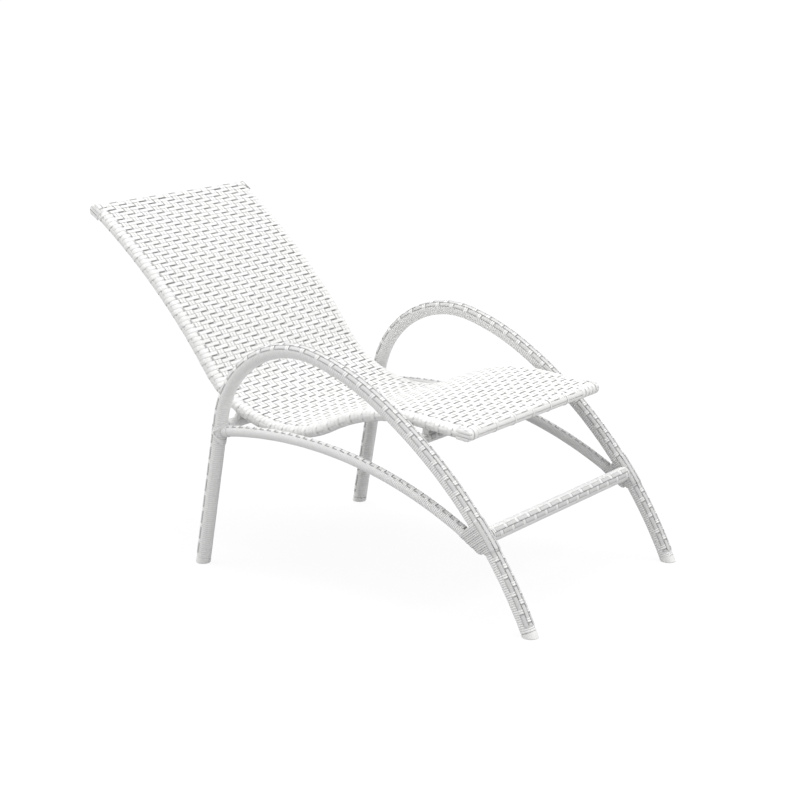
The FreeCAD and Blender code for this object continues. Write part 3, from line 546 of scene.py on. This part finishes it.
def rail_edge_strip(side):
    """The flat strip along the outside of one rail, under every third row."""
    strands = Strands()
    s = steps(TUCK - 4 * MM, SHELL.length - TUCK + 4 * MM, ROW_PITCH / 5)
    row = (s - ROW_SHIFT) / ROW_PITCH - 0.5
    phase = (row + EDGE_PERIOD / 2) % EDGE_PERIOD - EDGE_PERIOD / 2
    covered = bump(phase * ROW_PITCH, 4.6 * MM, 7.4 * MM)
    height = MID_HEIGHT + 2.35 * MM - 1.05 * MM * covered
    x = side * (RAIL_REACH + QUARTER_TURN + edge_section[None, :, 0] * TURN_RADIUS / EDGE_STRIP_RADIUS)
    n = height[:, None] + edge_section[None, :, 1]
    grid = shell_place(x, s[:, None], n)
    # Painted shade: darker where the cross strips pass over it, and at its edges.
    shade = (1 - 0.6 * covered)[:, None] * edge_shade(edge_section, EDGE_WIDTH, 0.6)
    strands.add(grid, edge_section[:, 0] / EDGE_WIDTH, s, shade)
    name = "right" if side < 0 else "left"
    strands.piece(name + "_rail_edge_strip", WOVEN, "woven_strip", name + "_edge_strip")


def ring(strands, x, span, height, profile, width, base):
    """A strip round an end bar at X, over a span of degrees counted along the shell."""
    first, last = (math.radians(a) for a in span)
    s = base + steps(first, last, math.radians(9)) * TURN_RADIUS
    grid = shell_place(x + profile[None, :, 0], s[:, None], height + profile[None, :, 1])
    # Painted shade at the strip's edges.
    strands.add(grid, profile[:, 0] / width, s, edge_shade(profile, width, 0.6))


def corner(strands, base_s, side, ahead):
    """Three strips that run along the rail's side and turn the corner on to the end bar."""
    centre, tangent, normal = (v[0] for v in SHELL.at(np.array([base_s])))
    turn = np.radians(np.arange(0, 91, 15))
    x = np.concatenate([
        np.full(6, CORNER_FLANK), CORNER_FLANK - CORNER_BEND * (1 - np.cos(turn)), CORNER_ENDS])
    for tilt in (math.radians(a) for a in CORNER_TILTS):
        face = CORNER_RADIUS * math.cos(tilt)
        run = np.concatenate([
            np.linspace(-23 * MM, -2 * MM, 6), face - CORNER_BEND * (1 - np.sin(turn)),
            [face - 0.6 * MM, face - 1.5 * MM]])
        heading = np.concatenate([np.zeros(6), turn, [math.pi / 2] * 2])
        level = np.cos(heading)[:, None] * X_AXIS * side + np.sin(heading)[:, None] * tangent * ahead
        bow = tilt * (0.35 + 0.65 * np.sin(heading))[:, None]
        out = np.cos(bow) * level + np.sin(bow) * normal
        across = np.cos(bow) * normal - np.sin(bow) * level
        path = (centre + side * x[:, None] * X_AXIS + run[:, None] * tangent * ahead
                + CORNER_RADIUS * math.sin(tilt) * normal)
        # Painted shade at the strips' edges.
        strands.add(sweep(path, across, out, binder_section), binder_section[:, 0] / BINDER_WIDTH, run,
                    edge_shade(binder_section, BINDER_WIDTH, 0.4))


def end_bar_strips():
    """The windings at the ends of both end bars, and the face strips and straps of the front bar."""
    front, head = Strands(), Strands()
    high = MID_HEIGHT + 1.5 * MM
    for side, near, count in ((-1, front, 2), (1, front, 5), (-1, head, 2), (1, head, 2)):
        ahead = -1 if near is front else 1
        base = 0.0 if near is front else SHELL.length
        corner(near, base, side, ahead)
        span = [ahead * degrees for degrees in RING_SPAN]
        for number in range(count):
            x = side * (RING_FIRST - RING_PITCH * number)
            ring(near, x, span, high, ring_section, RING_WIDTH, base)
    x = steps(*FACE_ENDS, 2.0 * MM)
    gap = np.min(np.abs(x[:, None] - np.array(STRAPS)[None, :]), axis=1)
    for row in range(2):
        s = FACE_START - (row + 0.5) * FACE_PITCH
        height = MID_HEIGHT + 1.45 * MM - 0.55 * MM * bump(gap, 3.2 * MM, 5.6 * MM)
        ss = s + face_section[None, :, 0]
        n = height[:, None] + face_section[None, :, 1]
        # Painted shade: darker beside each strap and at the strips' edges.
        shade = smooth((gap - 2.6 * MM) / (2.4 * MM))[:, None] * edge_shade(face_section, FACE_WIDTH, 0.45)
        front.add(shell_place(x[:, None], ss, n), face_section[:, 0] / FACE_WIDTH, x, shade)
    for strap in STRAPS:
        ring(front, strap, STRAP_SPAN, high + 0.45 * MM, strap_section, STRAP_WIDTH, 0.0)
    front.piece("front_bar_strips", WOVEN, "woven_strip", "shell_front_binding")
    head.piece("head_bar_strips", WOVEN, "woven_strip", "shell_head_binding")


# --------------------------------------------------------- wound frame tubes
WOUND_THICKNESS = 1.5 * MM
LEADER_THICKNESS = 1.0 * MM
LEADER_PROUD = 1.30 * MM  # of an exposed leader's middle over the winding's middle
COVER_LIFT = 1.05 * MM  # of a turn that passes over a leader
COVER_EASE = math.radians(7)  # over which a turn comes down, and its shade fades, beside a leader
SEAM = math.radians(-90)  # where one turn of a winding ends and the next begins
UNEVEN = 12.9898  # radians from turn to turn, so that their heights don't repeat


class Leader:
    """A flat strip along a wound tube: every period turns of the winding, cover turns pass over it.

    open_side is 1 or -1 for the edge, toward larger or smaller angles, beside which a darker line of
    painted shade is drawn, and 0 for both.
    The last argument is painted shade: how much darker the strip's colour is made between its covers, where
    it lies lower than them.
    """

    def __init__(self, angle, span, period, cover, shift, open_side, tone=0.58):
        self.angle = math.radians(angle)
        self.half = math.radians(span) / 2
        self.period, self.cover, self.shift = period, cover, shift
        self.open_side, self.tone = open_side, tone

    def covers(self, turn):
        """Whether a turn passes over the strip."""
        return (turn + self.shift) % self.period < self.cover


def wind(strands, place, start, end, pitch, radius, leaders, plain_ends=0):
    """Winds one strip round a tube, over and under its leaders; returns the true pitch."""
    turns = int(round((end - start) / pitch))
    pitch = (end - start) / turns
    fine = np.zeros(0)
    for leader in leaders:
        edge = leader.half + math.radians(9)
        fine = np.append(fine, np.arange(leader.angle - edge, leader.angle + edge, math.radians(4)))
    coarse = SEAM + np.arange(0, 2 * math.pi, math.radians(15))
    if len(fine):
        coarse = coarse[(coarse < fine.min() - 0.1) | (coarse > fine.max() + 0.1)]
    angle = np.unique(np.round(np.sort(np.append(coarse, fine)), 3))
    angle = angle[np.append(np.diff(angle) > math.radians(1.5), True)]
    turn = np.repeat(np.arange(turns), len(angle))
    angles = np.tile(angle, turns)
    middle_s = start + pitch * (turn + (angles - SEAM) / (2 * math.pi))
    free = (turn >= plain_ends) & (turn < turns - plain_ends)
    level = np.full(len(turn), radius + 0.05 * MM)
    for leader in leaders:
        over = leader.covers(turn) & free
        window = bump(angles - leader.angle, leader.half - 0.02, leader.half + COVER_EASE)
        level = np.maximum(level, radius + COVER_LIFT * window * over)
    level = level + 0.07 * MM * np.sin(turn * UNEVEN)
    width = pitch * 0.98
    profile = section(width, WOUND_THICKNESS, ROUND_FACE)
    sideways = profile[:, 0] / width
    # Painted shade: darker grooves at each turn's edges, darker lines beside the leaders' exposed lengths,
    # most on their open side, and darker outer edges of the cover turns over each leader.
    shade = np.tile(edge_shade(profile, width, 0.38), (len(turn), 1))
    for leader in leaders:
        over = leader.covers(turn) & free
        apart = angles - leader.angle
        beside = np.maximum(np.abs(apart) - leader.half, 0)
        depth = np.where(apart * leader.open_side >= 0, 0.95, 0.65) * (free & ~over)
        shade = shade * (1 - depth * bump(beside, 0.02, COVER_EASE))[:, None]
        for step in (-1, 1):
            outer = over & ~leader.covers(turn + step) & (np.abs(apart) < leader.half)
            shade = shade * (1 - 0.8 * outer[:, None] * (sideways * step > 0.42)[None, :])
    s = middle_s[:, None] + profile[None, :, 0]
    grid = place(s, angles[:, None], level[:, None] + profile[None, :, 1])
    strands.add(grid, sideways, (turn + angles / (2 * math.pi)) * radius * 2 * math.pi, shade)
    return pitch


def lay_leader(strands, place, leader, start, pitch, radius, first, last, raised=None):
    """Lays one leader strip from first to last along a tube whose winding begins at start."""
    s = steps(first, last, pitch / 4)
    turn = (s - start) / pitch - (leader.angle - SEAM) / (2 * math.pi)
    ahead = (turn + leader.shift) % leader.period
    middle = (ahead - leader.cover / 2 + leader.period / 2) % leader.period - leader.period / 2
    edge = leader.cover / 2 * pitch
    covered = bump(middle * pitch, edge - 0.6 * MM, edge + 1.5 * MM)
    level = radius + LEADER_PROUD - 1.5 * MM * covered
    # Painted shade: darker at each end of an exposed length, where it dives under a cover.
    dark = bump(middle * pitch, edge + 0.2 * MM, edge + 1.7 * MM)
    if raised is not None:
        share = raised(s)
        level = (1 - share) * level + share * (radius + LEADER_PROUD + LASHING_LIFT)
        dark = dark * (1 - share)
    width = 2 * leader.half * (radius + LEADER_PROUD) - 0.3 * MM
    profile = section(width, LEADER_THICKNESS, RIBBED_FACE)
    angle = leader.angle + profile[None, :, 0] / (radius + LEADER_PROUD)
    n = level[:, None] + profile[None, :, 1]
    # Painted shade: darker edges, most on the open side, and the whole strip darkened between its covers.
    depth = np.where(profile[:, 0] * leader.open_side >= 0, 0.9, 0.5)
    shade = leader.tone * (1 - 0.70 * dark)[:, None] * edge_shade(profile, width, depth)
    strands.add(place(s[:, None], angle, n), profile[:, 0] / width, s, shade)


ARM_RADIUS = 16.7 * MM  # of the middle of the winding
BAR_RADIUS = 11.85 * MM
ARM_PITCH, STRETCHER_PITCH, BAR_PITCH = 5.15 * MM, 4.15 * MM, 4.72 * MM
ARM_LEADERS = [
    Leader(37.5, 32.5, 8, 2, 0, 1), Leader(72.5, 32.5, 8, 2, 4, 0),
    Leader(107.5, 32.5, 8, 2, 0, 0), Leader(142.5, 32.5, 8, 2, 4, -1),
]
STRETCHER_LEADERS = [Leader(86, 58, 5, 2, 0, -1, 0.85)]
CROSSBAR_LEADERS = [Leader(134, 31.5, 10, 2, 0, 1, 0.50), Leader(168, 31.5, 10, 2, 5, -1, 0.50)]
SEAT_BAR_LEADERS = [Leader(165, 44, 6, 2, 0, -1)]
LASHING_TOP, LASHING_BOTTOM = 232 * MM, 176 * MM
LASHING_LIFT = 1.9 * MM  # of a leader where it passes over the lashing
LEADER_END_GAP = 13 * MM
BAR_END_GAP = 15.5 * MM  # from the middle of a side frame to the end of a bar's winding


def over_lashing(track):
    """How far a leader on the front leg is lifted by the lashing, 0 to 1."""
    def share(s):
        centre, _, _ = track.at(s)
        height = centre[:, 2]
        mid, half = (LASHING_TOP + LASHING_BOTTOM) / 2, (LASHING_TOP - LASHING_BOTTOM) / 2
        return bump(height - mid, half, half + 5 * MM) * (s > track.length / 2)
    return share


def side_frames():
    """Windings and leaders of both arm-and-leg tubes and both stretchers."""
    for side, name in ((-1, "right"), (1, "left")):
        x = side * FRAME_REACH
        arm = Track(x, ARM_START, ARM_HEADING, ARM_RUNS)
        place = round_frame(arm, side)
        wrap, leaders = Strands(), Strands()
        start, end = 0.3 * MM, arm.length - 0.3 * MM
        pitch = wind(wrap, place, start, end, ARM_PITCH, ARM_RADIUS, ARM_LEADERS, 3)
        for leader in ARM_LEADERS:
            lay_leader(leaders, place, leader, start, pitch, ARM_RADIUS,
                       LEADER_END_GAP, arm.length - LEADER_END_GAP, over_lashing(arm))
        wrap.piece(name + "_arm_winding", WOUND, "wound_strip", name + "_arm_leg_wrap")
        leaders.piece(name + "_arm_leaders", WOUND, "wound_strip", name + "_arm_leader_strips")
        rod = Track(x, STRETCHER_START, STRETCHER_HEADING, STRETCHER_RUNS)
        place = round_frame(rod, side)
        wrap = Strands()
        start, end = 17 * MM, rod.length - 2 * MM
        pitch = wind(wrap, place, start, end, STRETCHER_PITCH, BAR_RADIUS, STRETCHER_LEADERS)
        for leader in STRETCHER_LEADERS:
            lay_leader(wrap, place, leader, start, pitch, BAR_RADIUS, start, end)
        wrap.piece(name + "_stretcher_winding", WOUND, "wound_strip", name + "_side_stretcher_wrap")
        front_lashing(arm, rod, name)
        rear_lashing(arm, rod, side, name)


def cross_bars():
    """Windings of the three straight bars."""
    reach = FRAME_REACH - BAR_END_GAP
    for node, radius, leaders, replaced in (
            ("front_crossbar", ARM_RADIUS, CROSSBAR_LEADERS, ["front_crossbar_leader_strips"]),
            ("rear_crossbar", BAR_RADIUS, [], []),
            ("seat_support", BAR_RADIUS, SEAT_BAR_LEADERS, [])):
        wrap = Strands()
        place = round_bar(middle(node + "_tube"))
        pitch = wind(wrap, place, -reach, reach, BAR_PITCH, radius, leaders, 1)
        for leader in leaders:
            lay_leader(wrap, place, leader, -reach, pitch, radius, -reach + 5 * MM, reach - 5 * MM)
        wrap.piece(node + "_winding", WOUND, "wound_strip", node + "_wrap", *replaced)


# ---------------------------------------------------------------- lashings
LASH_WIDTH = 4.7 * MM
lash_section = section(LASH_WIDTH * 0.98, 1.5 * MM, PLAIN_FACE)
lash_across = lash_section[:, 0] / LASH_WIDTH
# Painted shade at the edges of each lashing turn.
lash_shade = edge_shade(lash_section, LASH_WIDTH, 0.7)
LEG_BELT_RADIUS, ROD_BELT_RADIUS = 18.1 * MM, 13.3 * MM
KNOB_TURNS = [(13.6, 0.0), (13.4, 4.2), (11.6, 7.6), (8.0, 10.0), (3.6, 11.2)]  # radius and drop
LEG_LASH_RADIUS, CROSSING_LIFT = 18.35 * MM, 0.9 * MM
REAR_LASH_PITCH = 4.8 * MM
COLLAR_RADIUS, COLLAR_START, COLLAR_PITCH = 13.45 * MM, 19.5 * MM, 4.6 * MM


def belt(near, far, across, big, small):
    """A belt's path round two circles: points and outward directions in their plane."""
    spacing = np.linalg.norm(far - near)
    along = (far - near) / spacing
    lean = math.acos(min(1.0, (big - small) / spacing))
    first = np.linspace(lean, 2 * math.pi - lean, 25)
    second = np.linspace(-lean, lean, 17)
    out = [along * math.cos(a) + across * math.sin(a) for a in first]
    points = [near + big * direction for direction in out]
    more = [along * math.cos(a) + across * math.sin(a) for a in second]
    ends = [far + small * direction for direction in more]
    path, away = list(points), list(out)
    for share in (0.33, 0.67):
        path.append(points[-1] * (1 - share) + ends[0] * share)
        away.append(out[-1])
    path += ends
    away += more
    for share in (0.33, 0.67):
        path.append(ends[-1] * (1 - share) + points[0] * share)
        away.append(more[-1])
    return np.array(path), np.array(away)


def length_at_height(track, height, low, high):
    """Length along a falling stretch of track where its centre is at a height."""
    for _ in range(40):
        mid = (low + high) / 2
        if track.at(np.array([mid]))[0][0, 2] > height:
            low = mid
        else:
            high = mid
    return low


def front_lashing(arm, rod, name):
    """Turns of strip round the front leg and the stretcher's end together."""
    strands = Strands()
    top = length_at_height(arm, LASHING_TOP, arm.length / 2, arm.length)
    bottom = length_at_height(arm, LASHING_BOTTOM, arm.length / 2, arm.length)
    turns = int(round((bottom - top) / LASH_WIDTH))
    s_rod = steps(rod.length - 0.25, rod.length, 1 * MM)
    rod_points = rod.at(s_rod)[0]
    tip = rod_points[-1]
    # Painted shade: the whole front lashing darker, and more at each turn's edges.
    shade = 0.74 * edge_shade(lash_section, LASH_WIDTH, 0.5)
    for number in range(turns):
        s = top + (number + 0.5) * (bottom - top) / turns
        centre, tangent, _ = (v[0] for v in arm.at(np.array([s])))
        nearest = np.argmin(np.abs((rod_points - centre) @ tangent))
        other = rod_points[nearest] - ((rod_points[nearest] - centre) @ tangent) * tangent
        past = max(0.0, (centre - tip) @ tangent / (16 * MM))
        other = centre + (other - centre) * (1 - 0.9 * min(1, past) ** 2)
        swell = 0.9 * MM * math.sin(math.pi * (number + 0.5) / turns) + 0.3 * MM * (number % 3 - 1)
        path, away = belt(centre, other, X_AXIS, LEG_BELT_RADIUS + swell, ROD_BELT_RADIUS + swell)
        lean = 0.18 + 0.10 * math.sin(number * 2.1)
        slant = tangent + lean * (other - centre) / np.linalg.norm(other - centre)
        grid = sweep(path, slant, away, lash_section)
        strands.add(grid, lash_across, np.arange(len(path)) * 3 * MM, shade, True)
    knob(strands, rod)
    strands.piece(name + "_front_lashing_turns", WOUND, "wound_strip", name + "_front_lashing")


def knob(strands, rod):
    """The stretcher's wound end, drawn in over its tip."""
    end, tangent, left = (v[0] for v in rod.at(np.array([rod.length - 1 * MM])))
    angle = np.linspace(0, 2 * math.pi, 25)[:-1]
    out = np.cos(angle)[:, None] * X_AXIS + np.sin(angle)[:, None] * left
    for radius, drop in KNOB_TURNS:
        tilt = drop / KNOB_TURNS[-1][1]
        away = out * math.sqrt(1 - 0.9 * tilt ** 2) + tangent * math.sqrt(0.9) * tilt
        sideways = tangent * math.sqrt(1 - 0.9 * tilt ** 2) - out * math.sqrt(0.9) * tilt
        path = end + tangent * drop * MM + out * radius * MM
        grid = sweep(path, sideways, away, lash_section)
        strands.add(grid, lash_across, angle * radius * MM, lash_shade, True)


def rear_lashing(arm, rod, side, name):
    """Crossed turns round the rear leg, and a collar of turns on the stretcher."""
    strands = Strands()
    joint = rod.at(np.array([0.0]))[0][0]
    lengths = steps(0, 0.363, 0.5 * MM)
    s_joint = lengths[np.argmin(np.linalg.norm(arm.at(lengths)[0] - joint, axis=1))]
    place = round_frame(arm, side)
    angle = np.linspace(0, 2 * math.pi, 49)[:-1]
    inward = math.radians(-90)
    for slope in (1, -1):
        for number in range(3):
            near = 17.5 * MM + number * REAR_LASH_PITCH
            far = 5 * MM + number * REAR_LASH_PITCH
            middle_s = s_joint + slope * 0.5 * (near - far)
            swing = slope * 0.5 * (near + far) * np.cos(angle - inward)
            lift = CROSSING_LIFT * (slope < 0) * bump((angle + math.pi) % (2 * math.pi) - math.pi, 1.0, 1.6)
            s = (middle_s + swing)[:, None] + lash_section[None, :, 0]
            n = (LEG_LASH_RADIUS + lift)[:, None] + lash_section[None, :, 1]
            strands.add(place(s, angle[:, None], n), lash_across, angle * 17 * MM, lash_shade, True)
    collar = round_frame(rod, side)
    for number in range(3):
        s = COLLAR_START + number * COLLAR_PITCH + lash_section[None, :, 0] + 0 * angle[:, None]
        n = COLLAR_RADIUS + lash_section[None, :, 1]
        strands.add(collar(s, angle[:, None], n), lash_across, angle * 13 * MM, lash_shade, True)
    strands.piece(name + "_rear_lashing_turns", WOUND, "wound_strip", name + "_rear_lashing")


# ------------------------------------------------------ camera and lighting
CAMERA_PLACE = (-3.752, -2.684, 1.476)
CAMERA_ANGLES = (-55.13, 13.41, -0.1)  # azimuth, elevation and roll, degrees
CAMERA_LENS = 88.4


def add_camera():
    """The photographer's place: low, to the sitter's right and in front."""
    azimuth, elevation, roll = (math.radians(a) for a in CAMERA_ANGLES)
    right = Vector((math.cos(azimuth), math.sin(azimuth), 0))
    back = Vector((
        math.sin(azimuth) * math.cos(elevation), -math.cos(azimuth) * math.cos(elevation),
        math.sin(elevation)))
    up = back.cross(right)
    data = bpy.data.cameras.new("camera")
    data.sensor_width = 36
    data.lens = CAMERA_LENS
    data.clip_end = 200
    camera = bpy.data.objects.new("camera", data)
    turn = Matrix((right, up, back)).transposed() @ Matrix.Rotation(roll, 3, "Z")
    camera.matrix_world = Matrix.Translation(CAMERA_PLACE) @ turn.to_4x4()
    bpy.context.scene.collection.objects.link(camera)
    bpy.context.scene.camera = camera


def add_sun(name, direction, strength, angle):
    """A broad soft light that shines along a direction."""
    data = bpy.data.lights.new(name, "SUN")
    data.energy = strength
    data.angle = math.radians(angle)
    lamp = bpy.data.objects.new(name, data)
    lamp.rotation_mode = "QUATERNION"
    lamp.rotation_quaternion = Vector(direction).to_track_quat("-Z", "Y")
    bpy.context.scene.collection.objects.link(lamp)


def floor_material():
    """White paper that the camera sees nearly as a glow, and that lights the chair only softly."""
    material = bpy.data.materials.new("floor")
    material.use_nodes = True
    nodes, links = material.node_tree.nodes, material.node_tree.links
    nodes.clear()
    glow = nodes.new("ShaderNodeEmission")
    glow.inputs["Color"].default_value = (1, 1, 1, 1)
    glow.inputs["Strength"].default_value = 0.91
    paper = nodes.new("ShaderNodeBsdfDiffuse")
    paper.inputs["Color"].default_value = (0.09, 0.09, 0.09, 1)
    seen = nodes.new("ShaderNodeAddShader")
    bounced = nodes.new("ShaderNodeBsdfDiffuse")
    bounced.inputs["Color"].default_value = (0.48, 0.48, 0.48, 1)
    path = nodes.new("ShaderNodeLightPath")
    mix = nodes.new("ShaderNodeMixShader")
    links.new(glow.outputs[0], seen.inputs[0])
    links.new(paper.outputs[0], seen.inputs[1])
    links.new(path.outputs["Is Camera Ray"], mix.inputs["Fac"])
    links.new(bounced.outputs[0], mix.inputs[1])
    links.new(seen.outputs[0], mix.inputs[2])
    output = nodes.new("ShaderNodeOutputMaterial")
    links.new(mix.outputs[0], output.inputs["Surface"])
    return material


def add_floor():
    """A plain floor, wide enough that its edges stay out of sight."""
    size = 60.0
    mesh = bpy.data.meshes.new("floor")
    mesh.from_pydata(
        [(-size, -size, 0), (size, -size, 0), (size, size, 0), (-size, size, 0)], [], [(0, 1, 2, 3)])
    floor = bpy.data.objects.new("floor", mesh)
    floor.location.z = -0.4 * MM
    bpy.context.scene.collection.objects.link(floor)
    mesh.materials.append(floor_material())


def add_world():
    """An even white surround, dimmer as a light than as the backdrop that the camera sees."""
    world = bpy.data.worlds.new("studio")
    bpy.context.scene.world = world
    world.use_nodes = True
    nodes, links = world.node_tree.nodes, world.node_tree.links
    background = nodes["Background"]
    background.inputs["Color"].default_value = (1, 1, 1, 1)
    path = nodes.new("ShaderNodeLightPath")
    strength = nodes.new("ShaderNodeMapRange")
    strength.inputs["To Min"].default_value = 0.62
    strength.inputs["To Max"].default_value = 1.0
    links.new(path.outputs["Is Camera Ray"], strength.inputs["Value"])
    links.new(strength.outputs[0], background.inputs["Strength"])


def add_lights():
    """Three broad suns, which together leave hardly a shadow."""
    add_sun("overhead", (-0.05, -0.10, -1.0), 1.95, 52)
    add_sun("from behind", (0.45, -1.0, -0.45), 0.95, 50)
    add_sun("from the front", (-0.10, 1.0, -0.70), 0.75, 48)


build_weave()
for rail_side in (-1, 1):
    rail_edge_strip(rail_side)
end_bar_strips()
side_frames()
cross_bars()
add_camera()
add_floor()
add_world()
add_lights()
bpy.context.scene.view_settings.view_transform = "Standard"
